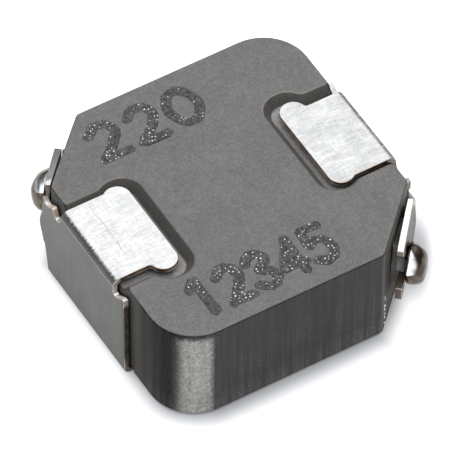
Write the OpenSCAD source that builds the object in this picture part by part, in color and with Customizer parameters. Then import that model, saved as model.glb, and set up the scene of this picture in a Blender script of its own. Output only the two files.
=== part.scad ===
// Shielded surface-mount power inductor.
// A winding of round enamelled wire sits inside a block of pressed magnetic powder. Two terminals,
// each folded from one sheet, clip over the ends of the block: a side plate, a tab turned in over
// the top, a solder foot turned in underneath, and a forked wing along the cut corner. The wire
// comes out of the cut corner, passes through the fork and is melted into a weld bead outside it.
// Sizes are in millimetres. The origin is the middle of the solder faces, +Z is up, +X points from
// the left terminal to the right one, and each half of the part is the other turned by 180 degrees.

/* [Core block] */
// Length of the block between the two side plates
body_l = 6.75; // [6.4:0.05:7.4]
// Width of the block
body_w = 6.86; // [6.6:0.02:7.4]
// Height of the block
body_h = 2.66; // [2.4:0.02:3]
// How far the block stands off the board on its solder feet
stand_off = 0.03; // [0.01:0.01:0.08]
// Radius of the two rounded corners
round_r = 1.1; // [0.6:0.05:1.3]
// Leg of the two cut corners, where the wire comes out
cut_leg = 1.53; // [1.4:0.01:1.6]
// Rounding where a cut corner meets the sides
cut_r = 0.18; // [0.05:0.01:0.3]

/* [Recesses in the block] */
// Depth of the top recess that holds a tab
recess_h = 0.25; // [0.2:0.01:0.4]
// How far the recess walls lean in from rim to floor
recess_lean = 0.19; // [0.05:0.01:0.22]
// Clearance from the tab's inner end to the recess rim
recess_end_gap = 0.3; // [0.2:0.01:0.5]
// Clearance beside the tab's neck at the rim, on the plain side and on the wing side
recess_side_gaps = [0.32, 0.14]; // [0.13:0.01:0.4]
// Radius of the recess's corners round the tab's head, at the rim
recess_r = 0.5; // [0.35:0.01:0.6]
// Straight stretch beside the head, between the corners at its inner end and at the neck
recess_run = 0.15; // [0.1:0.01:0.3]
// Clearance all round the solder foot in its recess
foot_gap = 0.06; // [0.02:0.01:0.2]

/* [Terminal sheet] */
// Thickness of the sheet
sheet_t = 0.13; // [0.08:0.01:0.16]
// Air gap between a side plate and the block
plate_gap = 0.045; // [0.01:0.005:0.1]
// Outside radius of the fold into the top tab and of the fold into the wing
fold_r = 0.2; // [0.18:0.01:0.3]
// How far the tab lies below the top of the block
tab_sink = 0.03; // [0:0.01:0.08]

/* [Top tab] */
// Reach of the tab from the plate's outer face to its inner end
tab_l = 1.6; // [1.4:0.05:1.9]
// Width of the neck
neck_w = 2.24; // [1.8:0.02:2.4]
// How far the neck lies off the middle, towards the wing
neck_shift = 0.04; // [0:0.01:0.1]
// Radius of the two lobes of the head
lobe_r = 0.32; // [0.25:0.01:0.4]
// How far a lobe stands out from the neck, on the plain side and on the wing side
lobe_out = [0.29, 0.08]; // [0.08:0.01:0.3]
// Inside rounding between a lobe and the neck
lobe_fillet_r = 0.08; // [0.04:0.01:0.12]

/* [Side plate] */
// From the middle of the block to the plate's plain end
plate_end = 1.54; // [1.45:0.01:1.7]
// How far the foot of the plate's wing end is cut back from the fold into the wing
foot_cut = 0.12; // [0.05:0.01:0.2]
// Height of the plate's shoulders above the solder faces
shoulder_z = 2.42; // [2.3:0.01:2.45]
// Gap between the shoulder on the wing side and the fold into the wing
shoulder_gap = 0.16; // [0.1:0.01:0.2]
// Width of the relief notch beside the neck, on the plain side and on the wing side
relief_w = [0.28, 0.4]; // [0.2:0.01:0.42]
// Height of the bottom of each relief notch
relief_z = [2.25, 2.15]; // [2.1:0.01:2.3]

/* [Solder foot] */
// Reach of the foot from the plate's outer face to its inner end
foot_l = 1.45; // [1:0.05:1.8]
// Radius of the foot's two inner corners
foot_corner_r = 0.2; // [0.05:0.01:0.5]
// Outside radius of the tight fold into the foot
foot_fold_r = 0.16; // [0.16:0.01:0.3]

/* [Wing] */
// How far past the start of the cut corner the fold into the wing begins
wing_past = 0.01; // [0:0.01:0.08]
// Angle that the wing is folded through, about 45 to follow the cut corner
wing_turn = 41; // [38:1:45]
// Length of the wing past its fold, at its lower prong and at its upper one
prong_l = [1.62, 1.545]; // [1.4:0.005:1.65]
// Distance from the fold to the wing's raised upper edge
wing_step = 0.247; // [0.15:0.001:0.4]
// Height of the bottom and the top of the wing's root
wing_root_z = [0.88, 2.03]; // [0.8:0.01:2.1]
// Height of the wing's upper edge next to the step and at the tip
wing_top_z = [2.42, 2.14]; // [2.05:0.01:2.45]
// Height of the wing's lower edge at the tip
wing_low_z = 0.62; // [0.4:0.01:0.8]

/* [Wire and weld] */
// Diameter of the wire
wire_d = 0.5; // [0.35:0.01:0.55]
// Height of the wire's ends above the solder faces
lead_z = 1.29; // [1.2:0.01:1.4]
// Width of the fork's slot that the wire passes through
fork_w = 0.62; // [0.6:0.01:0.7]
// Turns in each of the winding's two layers
layer_turns = 2.75; // [2.25:0.5:3.25]
// Radius of the outermost turn, at the middle of the wire
coil_r = 2.35; // [2.2:0.05:2.5]
// Distance from one turn to the next
turn_pitch = 0.56; // [0.56:0.01:0.6]
// Distance between the middles of the two layers
layer_pitch = 0.56; // [0.56:0.01:0.7]
// Clearance of the winding in the block
wire_gap = 0.03; // [0.02:0.01:0.06]
// Diameter of the weld bead
bead_d = 0.95; // [0.8:0.01:1.05]
// How far the weld bead stands out from the wing
bead_h = 0.42; // [0.4:0.01:0.55]
// Rounding of the bead's outer edge
bead_r = 0.2; // [0.1:0.01:0.2]

/* [Hidden] */
$fn = 96;

// cutters run past the faces they cut by this much
spare = 0.5;
half_l = body_l / 2;
half_w = body_w / 2;
body_top = stand_off + body_h;
body_mid = stand_off + body_h / 2;
plate_x = half_l + plate_gap + sheet_t;
tab_top = body_top - tab_sink;
neck_from = neck_shift - neck_w / 2;
neck_to = neck_shift + neck_w / 2;
head_from = neck_from - lobe_out[0];
head_to = neck_to + lobe_out[1];
lobe_x = tab_l - lobe_r;

// ends of the side plate towards the wing: where the fold begins, its foot and its shoulder
wing_fold_y = half_w - cut_leg + wing_past;
plate_foot_end = wing_fold_y - foot_cut;
shoulder_end = wing_fold_y - shoulder_gap;

// the middle of the left cut corner's face, its distance from the middle of the block, and how far
// it lies off the diagonal
cut_out = [-1, 1] / sqrt(2);
cut_along = [1, 1] / sqrt(2);
cut_mid = [-half_l + cut_leg / 2, half_w - cut_leg / 2];
cut_dist = cut_mid * cut_out;
cut_shift = cut_mid * cut_along;

// the wire leaves the cut corner square to its face: how far it runs to the wing's outer face, and
// where it crosses the wing, measured along the wing from its fold
wing_out = [-cos(wing_turn), sin(wing_turn)];
wing_along = [sin(wing_turn), cos(wing_turn)];
fold_mid = [-plate_x + fold_r, wing_fold_y];
wing_reach = ((fold_mid - cut_mid) * wing_out + fold_r) / (wing_out * cut_out);
wire_at = (cut_mid + wing_reach * cut_out - fold_mid) * wing_along;

// the winding: angle of its start, degrees wound in each layer, degrees that a lead's curve takes,
// and degrees that its space reaches past the lead on the other side
lead_at = 135;
layer_angle = 360 * layer_turns;
lead_curve = 40;
lead_side = 8;
cross_angle = 60;
ring_step = 15;
wire_sides = 10;
coil_in_r = coil_r - turn_pitch * layer_turns;
lead_bend_r = coil_r + 0.75;
coil_cover = wire_d / 2 + wire_gap;

// --- helpers ---------------------------------------------------------------------------------

// Both halves of the part: the second is the first turned half round
module both_ends() {
    for (turn = [0, 180]) rotate(turn) children();
}

// The flat corner outside a rounding of radius r, between the directions from and to
module outside_rounding(r, from, to) {
    reach = r + spare;
    mid = (from + to) / 2;
    difference() {
        polygon([
            [0, 0],
            reach * [cos(from), sin(from)],
            reach / cos(mid - from) * [cos(mid), sin(mid)],
            reach * [cos(to), sin(to)]
        ]);
        circle(r);
    }
}

// A strip of sheet, w wide along Z, folded about the Z axis from the X direction through an angle
module fold(r, angle, w) {
    rotate_extrude(angle = angle) translate([r - sheet_t, 0]) square([sheet_t, w]);
}

// A straight-sided pocket of the given length along X, with walls that lean in towards its floor
module leaning_channel(length, from, to) {
    rotate([90, 0, 90]) linear_extrude(length) polygon([
        [from + recess_lean, -recess_h],
        [to - recess_lean, -recess_h],
        [to, 0],
        [to + recess_lean * spare / recess_h, spare],
        [from - recess_lean * spare / recess_h, spare],
        [from, 0]
    ]);
}

// The same leaning wall taken round a corner of rim radius recess_r
module leaning_corner() {
    slope = recess_lean / recess_h;
    translate([0, 0, -recess_h])
        cylinder(h = recess_h + spare, r1 = recess_r - recess_lean, r2 = recess_r + slope * spare);
}

// --- core block ------------------------------------------------------------------------------

module block_outline() {
    cut_set = cut_r / cos(22.5);
    difference() {
        square([body_l, body_w], center = true);
        both_ends() {
            translate([half_l - round_r, half_w - round_r]) outside_rounding(round_r, 0, 90);
            translate([-half_l, half_w]) polygon([
                [-spare, -cut_leg - spare], [cut_leg + spare, spare], [-spare, spare]
            ]);
            translate([-half_l, half_w - cut_leg] + cut_set * [cos(22.5), -sin(22.5)])
                outside_rounding(cut_r, 135, 180);
            translate([-half_l + cut_leg, half_w] + cut_set * [sin(22.5), -cos(22.5)])
                outside_rounding(cut_r, 90, 135);
        }
    }
}

// The recess round a top tab, at the left end: a channel for the neck that runs out through the
// side, and a wider end with round corners for the head
module tab_recess() {
    corner_x = -plate_x + tab_l + recess_end_gap - recess_r;
    from = head_from - recess_side_gaps[0];
    to = head_to + recess_side_gaps[1];
    corner_ys = [from + recess_r, to - recess_r];
    translate([0, 0, body_top]) {
        translate([-plate_x - spare, 0, 0])
            leaning_channel(
                corner_x + plate_x + spare,
                neck_from - recess_side_gaps[0],
                neck_to + recess_side_gaps[1]
            );
        translate([corner_x - recess_run, 0, 0]) leaning_channel(recess_run, from, to);
        for (x = [corner_x - recess_run, corner_x], y = corner_ys)
            translate([x, y, 0]) leaning_corner();
        translate([corner_x, corner_ys[0], 0]) rotate(90)
            leaning_channel(corner_ys[1] - corner_ys[0], -recess_r, recess_r);
    }
}

// The recess under the block for a solder foot
module foot_recess() {
    translate([-plate_x - spare, -plate_end - foot_gap, -spare])
        cube([
            foot_l + foot_gap + spare,
            plate_end + plate_foot_end + 2 * foot_gap,
            spare + sheet_t + plate_gap / 2
        ]);
}

// The space that the winding fills: a ring, and for each lead a curved way out and a straight bore
module winding_space() {
    low = body_mid - layer_pitch / 2 - coil_cover;
    high = body_mid + layer_pitch / 2 + coil_cover;
    translate([0, 0, low]) rotate_extrude()
        translate([coil_in_r - coil_cover, 0])
            square([coil_r - coil_in_r + 2 * coil_cover, high - low]);
    for (lead = [0, 1]) rotate(lead_at + 180 * lead) {
        top = lead == 0 ? high : lead_z + coil_cover;
        bottom = lead == 0 ? lead_z - coil_cover : low;
        rotate(lead == 0 ? -lead_side : -lead_curve) translate([0, 0, bottom])
            rotate_extrude(angle = lead_curve + lead_side)
                translate([coil_r - coil_cover, 0])
                    square([lead_bend_r - coil_r + coil_cover, top - bottom]);
        translate([coil_r, -cut_shift, lead_z]) rotate([0, 90, 0])
            cylinder(h = half_l, r = coil_cover);
    }
}

module core_body() {
    color([0.40, 0.39, 0.38]) difference() {
        translate([0, 0, stand_off]) linear_extrude(body_h) block_outline();
        both_ends() {
            tab_recess();
            foot_recess();
        }
        winding_space();
    }
}

// --- winding ---------------------------------------------------------------------------------

function smooth(t) = t <= 0 ? 0 : t >= 1 ? 1 : t * t * (3 - 2 * t);

function bezier(a, b, c, d, t) =
    pow(1 - t, 3) * a + 3 * t * pow(1 - t, 2) * b + 3 * t * t * (1 - t) * c + pow(t, 3) * d;

// A point of the winding after turning through an angle from the start of the outer turn: the
// upper layer winds inwards, crosses over at the middle, and the lower layer winds outwards
function wound(angle) =
    let (
        from_middle = angle - layer_angle,
        r = coil_in_r + turn_pitch * abs(from_middle) / 360,
        drop = smooth(from_middle / cross_angle + 0.5)
    )
    [
        r * cos(lead_at + angle),
        r * sin(lead_at + angle),
        body_mid + layer_pitch * (0.5 - drop)
    ];

// The wire's end, r out from the middle: straight through the cut corner, in line with the fork
function lead_line(side, r) =
    let (a = lead_at + side)
    [r * cos(a) + cut_shift * sin(a), r * sin(a) - cut_shift * cos(a), lead_z];

// The curve from the straight end into the outer turn, which it meets at angle
function lead_bend(side, angle, way) =
    let (
        a = lead_line(side, lead_bend_r),
        d = wound(angle),
        along = way * [-sin(lead_at + angle), cos(lead_at + angle), 0]
    )
    [for (t = [0 : 0.2 : 0.8]) bezier(a, lead_line(side, coil_r), d - 0.7 * along, d, t)];

lead_end = cut_dist + wing_reach - wire_gap;
last_angle = 2 * layer_angle;
lead_out = [for (i = [4 : -1 : 0]) lead_bend(last_angle, last_angle - lead_curve, -1)[i]];
wire_path = concat(
    [lead_line(0, lead_end)],
    lead_bend(0, lead_curve, 1),
    [for (angle = [lead_curve : ring_step : last_angle - lead_curve]) wound(angle)],
    lead_out,
    [lead_line(last_angle, lead_end)]
);

// A tube of round wire along a path: a ring of points at each path point, square to the path
module wire(path, d, sides) {
    last = len(path) - 1;
    points = [
        for (i = [0 : last])
            let (
                ahead = path[min(i + 1, last)] - path[max(i - 1, 0)],
                forward = ahead / norm(ahead),
                across = cross([0, 0, 1], forward),
                side = across / norm(across),
                up = cross(forward, side)
            )
            for (k = [0 : sides - 1])
                path[i] + d / 2 * (cos(360 * k / sides) * side + sin(360 * k / sides) * up)
    ];
    faces = concat(
        [[for (k = [0 : sides - 1]) sides - 1 - k]],
        [
            for (i = [0 : last - 1])
                for (k = [0 : sides - 1])
                    let (a = i * sides + k, b = i * sides + (k + 1) % sides)
                        each [[a, b, b + sides], [a, b + sides, a + sides]]
        ],
        [[for (k = [0 : sides - 1]) last * sides + k]]
    );
    polyhedron(points, faces);
}

module coil_winding() {
    color([0.72, 0.38, 0.20]) wire(wire_path, wire_d, wire_sides);
}

// --- terminals -------------------------------------------------------------------------------

// Outline of the top tab, measured from the plate's outer face: a neck and a head with two lobes.
// Each lobe meets the neck in an inside rounding that bites a hair into both of them.
module tab_outline() {
    lobe_ys = [head_from + lobe_r, head_to - lobe_r];
    bite = lobe_fillet_r / 40;
    reach = lobe_r + lobe_fillet_r;
    fillet_ys = [neck_from - lobe_fillet_r, neck_to + lobe_fillet_r];
    fillet_xs = [
        for (side = [0, 1]) lobe_x - sqrt(pow(reach, 2) - pow(fillet_ys[side] - lobe_ys[side], 2))
    ];
    difference() {
        union() {
            translate([fold_r, neck_from]) square([lobe_x - fold_r, neck_w]);
            translate([lobe_x, lobe_ys[0]]) square([lobe_r, lobe_ys[1] - lobe_ys[0]]);
            for (side = [0, 1]) {
                translate([lobe_x, lobe_ys[side]]) circle(lobe_r);
                polygon([
                    [fillet_xs[side], fillet_ys[side]],
                    [lobe_x, lobe_ys[side]],
                    [lobe_x, neck_shift],
                    [fillet_xs[side], neck_shift]
                ]);
            }
        }
        for (side = [0, 1])
            translate([fillet_xs[side], fillet_ys[side]]) circle(lobe_fillet_r + bite);
    }
}

// Outline of the side plate, Y to the right and Z up, with a relief notch on each side of the neck
module plate_outline() {
    difference() {
        polygon([
            [-plate_end, foot_fold_r],
            [plate_foot_end, foot_fold_r],
            [wing_fold_y, wing_root_z[0]],
            [wing_fold_y, wing_root_z[1]],
            [shoulder_end, wing_root_z[1]],
            [shoulder_end, shoulder_z],
            [neck_to, shoulder_z],
            [neck_to, tab_top - fold_r],
            [neck_from, tab_top - fold_r],
            [neck_from, shoulder_z],
            [-plate_end, shoulder_z]
        ]);
        for (side = [0, 1]) {
            r = relief_w[side] / 2;
            y = side == 0 ? neck_from - r : neck_to + r;
            translate([y, relief_z[side] + r]) {
                circle(r);
                translate([-r, 0]) square([2 * r, spare]);
            }
        }
    }
}

// Outline of the wing past its fold, with the slot for the wire open to the tip
module wing_outline() {
    difference() {
        polygon([
            [0, wing_root_z[0]],
            [prong_l[0], wing_low_z],
            [prong_l[0], lead_z],
            [prong_l[1], lead_z],
            [prong_l[1], wing_top_z[1]],
            [wing_step, wing_top_z[0]],
            [wing_step, wing_root_z[1]],
            [0, wing_root_z[1]]
        ]);
        translate([wire_at, lead_z]) {
            circle(fork_w / 2);
            translate([0, -fork_w / 2]) square([prong_l[0], fork_w]);
        }
    }
}

// Places children in the wing's own frame: outer face at X = 0, Y along the wing from its fold
module in_wing() {
    translate([fold_mid[0], wing_fold_y, 0]) rotate(-wing_turn) translate([-fold_r, 0, 0]) children();
}

module foot_outline() {
    corner_x = foot_l - foot_corner_r;
    foot_w = plate_end + plate_foot_end;
    difference() {
        translate([foot_fold_r, -plate_end]) square([foot_l - foot_fold_r, foot_w]);
        translate([corner_x, -plate_end + foot_corner_r]) outside_rounding(foot_corner_r, -90, 0);
        translate([corner_x, plate_foot_end - foot_corner_r]) outside_rounding(foot_corner_r, 0, 90);
    }
}

module terminal() {
    color([0.86, 0.86, 0.84]) {
        translate([-plate_x, 0, 0]) {
            rotate([90, 0, 90]) linear_extrude(sheet_t) plate_outline();
            translate([0, 0, tab_top - sheet_t]) linear_extrude(sheet_t) tab_outline();
            linear_extrude(sheet_t) foot_outline();
        }
        translate([fold_mid[0], neck_to, tab_top - fold_r])
            rotate([90, 0, 0]) rotate(90) fold(fold_r, 90, neck_w);
        translate([-plate_x + foot_fold_r, plate_foot_end, foot_fold_r])
            rotate([90, 0, 0]) rotate(180) fold(foot_fold_r, 90, plate_end + plate_foot_end);
        translate([fold_mid[0], wing_fold_y, wing_root_z[0]])
            rotate(180 - wing_turn) fold(fold_r, wing_turn, wing_root_z[1] - wing_root_z[0]);
        in_wing() rotate([90, 0, 90]) linear_extrude(sheet_t) wing_outline();
    }
}

module terminal_left() { terminal(); }
module terminal_right() { rotate(180) terminal(); }

// --- welds -----------------------------------------------------------------------------------

// A flattened bead of melted metal on the wing's outer face, in line with the wire
module weld_bead() {
    color([0.70, 0.66, 0.62])
        in_wing() translate([0, wire_at, lead_z]) rotate([0, -90, 0]) rotate_extrude() {
            square([bead_d / 2 - bead_r, bead_h]);
            square([bead_d / 2, bead_h - bead_r]);
            translate([bead_d / 2 - bead_r, bead_h - bead_r]) circle(bead_r);
        }
}

module weld_bead_left() { weld_bead(); }
module weld_bead_right() { rotate(180) weld_bead(); }

core_body();
coil_winding();
terminal_left();
terminal_right();
weld_bead_left();
weld_bead_right();
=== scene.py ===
"""Shielded surface-mount power inductor: a pressed powder block with two folded sheet terminals.

Everything is modelled in millimetres and shrunk to metres when it is finished. The block, the
terminals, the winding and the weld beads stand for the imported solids, and take their places from
them. Each terminal is drawn at the left end; the right one is the same piece turned half round.
"""
import math
import random

import bmesh
import bpy
from mathutils import Matrix, Vector, noise


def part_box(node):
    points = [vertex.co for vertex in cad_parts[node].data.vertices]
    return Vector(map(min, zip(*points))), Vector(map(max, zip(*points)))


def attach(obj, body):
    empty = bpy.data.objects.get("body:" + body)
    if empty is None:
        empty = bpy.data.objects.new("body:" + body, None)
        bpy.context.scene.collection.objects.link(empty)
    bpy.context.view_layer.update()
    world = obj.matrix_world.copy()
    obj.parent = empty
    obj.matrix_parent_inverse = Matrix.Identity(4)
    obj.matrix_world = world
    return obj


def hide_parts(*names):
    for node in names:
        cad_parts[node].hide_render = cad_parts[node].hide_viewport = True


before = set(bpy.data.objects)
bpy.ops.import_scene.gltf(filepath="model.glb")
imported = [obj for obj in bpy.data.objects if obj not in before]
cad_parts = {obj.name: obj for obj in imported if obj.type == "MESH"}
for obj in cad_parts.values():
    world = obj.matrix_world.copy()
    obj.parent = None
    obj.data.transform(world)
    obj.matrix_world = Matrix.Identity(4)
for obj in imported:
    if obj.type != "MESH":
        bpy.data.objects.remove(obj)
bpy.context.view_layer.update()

MM = 0.001
HALF_TURN = Matrix.Rotation(math.pi, 4, "Z")
UPWARD = Vector((0, 0, 1))


def box_mm(node):
    """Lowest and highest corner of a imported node, in millimetres."""
    low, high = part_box(node)
    return low / MM, high / MM


# ---- sizes, in millimetres -------------------------------

block_low, block_high = box_mm("core_body")
sheet_low, sheet_high = box_mm("terminal_left")

# the block, whose top is left low enough for the drops on its marks to stay inside the solid's box
half_l, half_w = block_high.x, block_high.y
mark_rise = 0.012
block_bottom, block_top = block_low.z, block_high.z - mark_rise
cut_leg = 1.53
cut_r = 0.18
round_r = 1.1
foot_rim_r = 0.05
rim_r = 0.045

# the recess round the left tab: its mouth at the end face, its round head and its neck
recess_h = 0.25
recess_lean = 0.19
recess_end = -1.65
recess_lobe_x = -2.21
recess_head_y = (-1.69, 1.40)
recess_neck_y = (-1.40, 1.30)
recess_head_r, recess_neck_r = 0.5, 0.25
# rounding of the mouth's upright edges: three of them, then the one at +X+Y
mouth_r = {True: 0.1, False: 0.06}

# how far cutters run past the block's ends, above it and below it
past_end, past_top, past_bottom = 0.6, 0.3, 0.5
bore_l = 1.2
bore_gap = 0.03
foot_pocket_top = 0.15
foot_pocket_gap = 0.06
foot_pocket_wing_gap = 0.12

# the sheet and its folds
sheet_t = 0.13
fold_r = 0.2
foot_fold_r = 0.16
edge_r = 0.015
plate_x = sheet_low.x
fold_x = plate_x + fold_r
fold_y = 1.91

# the tab, from its neck to its lobes
tab_end = sheet_high.x
tab_top = sheet_high.z
neck_y = (-1.08, 1.16)
lobe_r = 0.32
lobe_out = (0.29, 0.08)
lobe_fillet_r = 0.08

# the side plate: outlines of its shoulders, from the near edge to the neck and from the wing's fold
plate_near = sheet_low.y
plate_foot = 1.79
near_shoulder = [(-1.08, 2.33), (-1.095, 2.285), (-1.13, 2.255), (-1.175, 2.255), (-1.24, 2.295),
                 (-1.39, 2.405), (-1.45, 2.44)]
near_shoulder_z = 2.45
far_dip = [(1.36, 2.21), (1.3, 2.22), (1.23, 2.28), (1.18, 2.36)]
far_shoulders = {
    "left": [(1.91, 2.42), (1.885, 2.34), (1.85, 2.295), (1.79, 2.275), (1.73, 2.295),
             (1.6, 2.395), (1.55, 2.42), (1.505, 2.405), (1.465, 2.32), (1.42, 2.24), *far_dip],
    "right": [(1.69, 2.03), (1.77, 2.19), (1.77, 2.42), (1.655, 2.43), (1.6, 2.38), (1.5, 2.27),
              (1.42, 2.22), *far_dip],
}

# the wing, with the heights of its root, its prongs and its fork
wing_turns = {"left": 39.5, "right": 41.2}
wing_low_z = 0.88
slot_z = 2.03
wing_step = 0.247
wing_top_z = (2.42, 2.14)
wing_extra = 0.035
prong_l = (1.62, 1.545)
prong_z = 0.62
prong_tip = 0.15
lead_z = 1.29
fork_w = 0.62
fork_flare = 0.1
bulge_z = 1.4
bulge_reach = 0.55
bulge_out = {"left": 0.15, "right": 0.05}

foot_l = 1.45
foot_corner_r = 0.2
wire_d = 0.5

# weld beads: width and rise, how square their profile is, and how far they sag
bead_sizes = {"left": (1.0, 0.45), "right": (0.95, 0.46)}
bead_squareness = {"left": 2.3, "right": 2.9}
bead_sags = {"left": 0.1, "right": 0.12}
bead_rings, bead_sides = 9, 40
bead_lift = 0.002
# strength and size of a bead's broad lumps and of its fine ones
bead_lumps = ((0.07, 0.45), (0.004, 0.13))

# the crust on a cut corner: its two far corners, its stand-out, thickness and lean
crust_low, crust_high = Vector((-0.72, 0.75)), Vector((0.8, 2.36))
crust_out = 0.072
crust_t = 0.11
crust_lean = 0.035

# the middle of the left cut corner, and the way it faces
cut_mid = Vector((-half_l + cut_leg / 2, half_w - cut_leg / 2, 0))
cut_out = Vector((-1, 1, 0)).normalized()


# ---- modelling helpers -----------------------------------

def deselect():
    bpy.ops.object.select_all(action="DESELECT")


def use(obj):
    """Makes obj the one selected, active object."""
    deselect()
    obj.select_set(True)
    bpy.context.view_layer.objects.active = obj
    return obj


def settle(location=True, rotation=True, scale=True):
    bpy.ops.object.transform_apply(location=location, rotation=rotation, scale=scale)


def edit(obj):
    use(obj)
    bpy.ops.object.mode_set(mode="EDIT")


def done():
    bpy.ops.object.mode_set(mode="OBJECT")


def everything():
    bpy.ops.mesh.select_all(action="SELECT")


def merge():
    """In edit mode, selects everything and merges corners that lie in one place."""
    everything()
    bpy.ops.mesh.remove_doubles(threshold=1e-4)


def face_out():
    bpy.ops.mesh.normals_make_consistent(inside=False)


def pull(move):
    bpy.ops.mesh.extrude_region_move(TRANSFORM_OT_translate={"value": move})


def spin(steps, degrees, centre, axis):
    bpy.ops.mesh.spin(steps=steps, angle=math.radians(degrees), center=centre, axis=axis)


def middle(part):
    return sum((v.co for v in part.verts), Vector()) / len(part.verts)


def way(edge):
    return (edge.verts[1].co - edge.verts[0].co).normalized()


def pick(kind, test):
    """In edit mode, selects the vertices, edges or faces that pass the test."""
    bpy.ops.mesh.select_mode(type=kind)
    bpy.ops.mesh.select_all(action="DESELECT")
    mesh = bpy.context.object.data
    shape = bmesh.from_edit_mesh(mesh)
    for part in {"VERT": shape.verts, "EDGE": shape.edges, "FACE": shape.faces}[kind]:
        if test(part):
            part.select_set(True)
    bmesh.update_edit_mesh(mesh)


def pick_edges_on(axis, level):
    """Selects the edges that lie at one level along an axis."""
    pick("EDGE", lambda edge: all(abs(v.co[axis] - level) < 1e-3 for v in edge.verts))


def bevel(width, segments):
    bpy.ops.mesh.bevel(
        offset=width, offset_type="OFFSET", segments=segments, profile=0.5, clamp_overlap=False)


def flip(obj):
    edit(obj)
    everything()
    bpy.ops.mesh.flip_normals()
    done()


def single_corner(name, at):
    """A mesh of one vertex, left in edit mode with the vertex selected."""
    deselect()
    bpy.ops.mesh.primitive_plane_add(size=1, location=at)
    obj = bpy.context.object
    obj.name = name
    settle(rotation=False, scale=False)
    edit(obj)
    everything()
    bpy.ops.mesh.merge(type="CENTER")
    bpy.ops.mesh.select_mode(type="VERT")
    everything()
    return obj


def ball(radius, at=(0, 0, 0), segments=8):
    deselect()
    bpy.ops.mesh.primitive_uv_sphere_add(
        segments=segments, ring_count=6, radius=radius, location=at)
    settle(rotation=False, scale=False)
    return bpy.context.object


def outline(name, start, moves):
    """A filled flat outline in the XY plane. Each move is the end of a straight side, or the centre
    of an arc with the degrees it turns, counter-clockwise if they are above zero."""
    at = Vector((*start, 0))
    obj = single_corner(name, at)
    for first, second in moves:
        if isinstance(first, tuple):
            centre = Vector((*first, 0))
            # spin turns clockwise about its axis
            spin(max(3, round(abs(second) / 5)), second, centre, (0, 0, -1))
            at = centre + Matrix.Rotation(math.radians(second), 3, "Z") @ (at - centre)
        else:
            to = Vector((first, second, 0))
            pull(to - at)
            at = to
    merge()
    everything()
    bpy.ops.mesh.edge_face_add()
    done()
    if obj.data.polygons[0].normal.z < 0:
        flip(obj)
    return obj


def lay(obj, origin, across=(1, 0, 0), up=(0, 1, 0)):
    """Moves a flat outline so that its X and Y run along two directions from an origin."""
    across, up = Vector(across).normalized(), Vector(up).normalized()
    turn = Matrix((across, up, across.cross(up))).transposed().to_4x4()
    obj.matrix_world = Matrix.Translation(origin) @ turn
    use(obj)
    settle()
    return obj


def apply(obj, kind, **settings):
    """Gives obj one modifier with the given settings, and applies it."""
    change = obj.modifiers.new(kind.lower(), kind)
    for key, value in settings.items():
        setattr(change, key, value)
    use(obj)
    bpy.ops.object.modifier_apply(modifier=change.name)


def thicken(obj, depth, rim_slot=0):
    """Gives a skin its thickness on the side away from its normals."""
    apply(obj, "SOLIDIFY", thickness=depth, offset=-1, use_even_offset=True,
          material_offset_rim=rim_slot)


def cut(obj, cutter):
    """Takes the cutter's shape out of obj and deletes the cutter."""
    apply(obj, "BOOLEAN", operation="DIFFERENCE", solver="EXACT", object=cutter)
    bpy.data.objects.remove(cutter)


def gather(objs):
    """Makes one object of several."""
    use(objs[0])
    for other in objs[1:]:
        other.select_set(True)
    bpy.ops.object.join()
    return objs[0]


def join(objs):
    """Makes one object of several and merges the corners that they share."""
    edit(gather(objs))
    merge()
    face_out()
    done()
    return objs[0]


def smooth_under(degrees):
    bpy.ops.object.shade_smooth_by_angle(angle=math.radians(degrees))


def soften(obj, width, segments, angle, edge_slot=-1):
    """Rounds every edge sharper than the angle, and shades the flats flat and the rounds smooth."""
    apply(obj, "BEVEL", width=width, segments=segments, limit_method="ANGLE",
          angle_limit=math.radians(angle), use_clamp_overlap=False, material=edge_slot)
    smooth_under(40)
    apply(obj, "WEIGHTED_NORMAL", keep_sharp=True)
    return obj


def turn_round(obj):
    """Turns a left-hand piece half round, for the right-hand end."""
    obj.matrix_world = HALF_TURN
    use(obj)
    settle()
    return obj


def finish_piece(obj, materials, slot, *nodes):
    """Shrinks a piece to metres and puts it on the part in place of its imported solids."""
    obj.data.name = obj.name
    obj.scale = (MM, MM, MM)
    use(obj)
    settle()
    while len(obj.data.materials) < len(materials):
        obj.data.materials.append(None)
    for place, material in enumerate(materials):
        obj.data.materials[place] = material
    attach(obj, "root")
    if nodes:
        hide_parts(*nodes)


def s_blend(step, big_r, small_r):
    """How an outline steps out into a round lobe: the distance between the two arcs' centres along
    the outline, and the degrees that each arc turns."""
    rise = big_r + small_r - step
    run = math.sqrt((big_r + small_r) ** 2 - rise ** 2)
    return run, math.degrees(math.atan2(run, rise))


def lobed(start_x, lobe_x, end_x, neck, head, big_r, small_r):
    """Moves round a neck that steps out into a wider head with round corners, from the neck's
    near side to its far side."""
    near_run, near_turn = s_blend(neck[0] - head[0], big_r, small_r)
    far_run, far_turn = s_blend(head[1] - neck[1], big_r, small_r)
    corner_x = end_x - big_r
    return [
        (lobe_x - near_run, neck[0]),
        ((lobe_x - near_run, neck[0] - small_r), -near_turn),
        ((lobe_x, head[0] + big_r), near_turn),
        (corner_x, head[0]),
        ((corner_x, head[0] + big_r), 90),
        (end_x, head[1] - big_r),
        ((corner_x, head[1] - big_r), 90),
        (lobe_x, head[1]),
        ((lobe_x, head[1] - big_r), far_turn),
        ((lobe_x - far_run, neck[1] + small_r), -far_turn),
        (start_x, neck[1]),
    ]


# ---- block -----------------------------------------------

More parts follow.
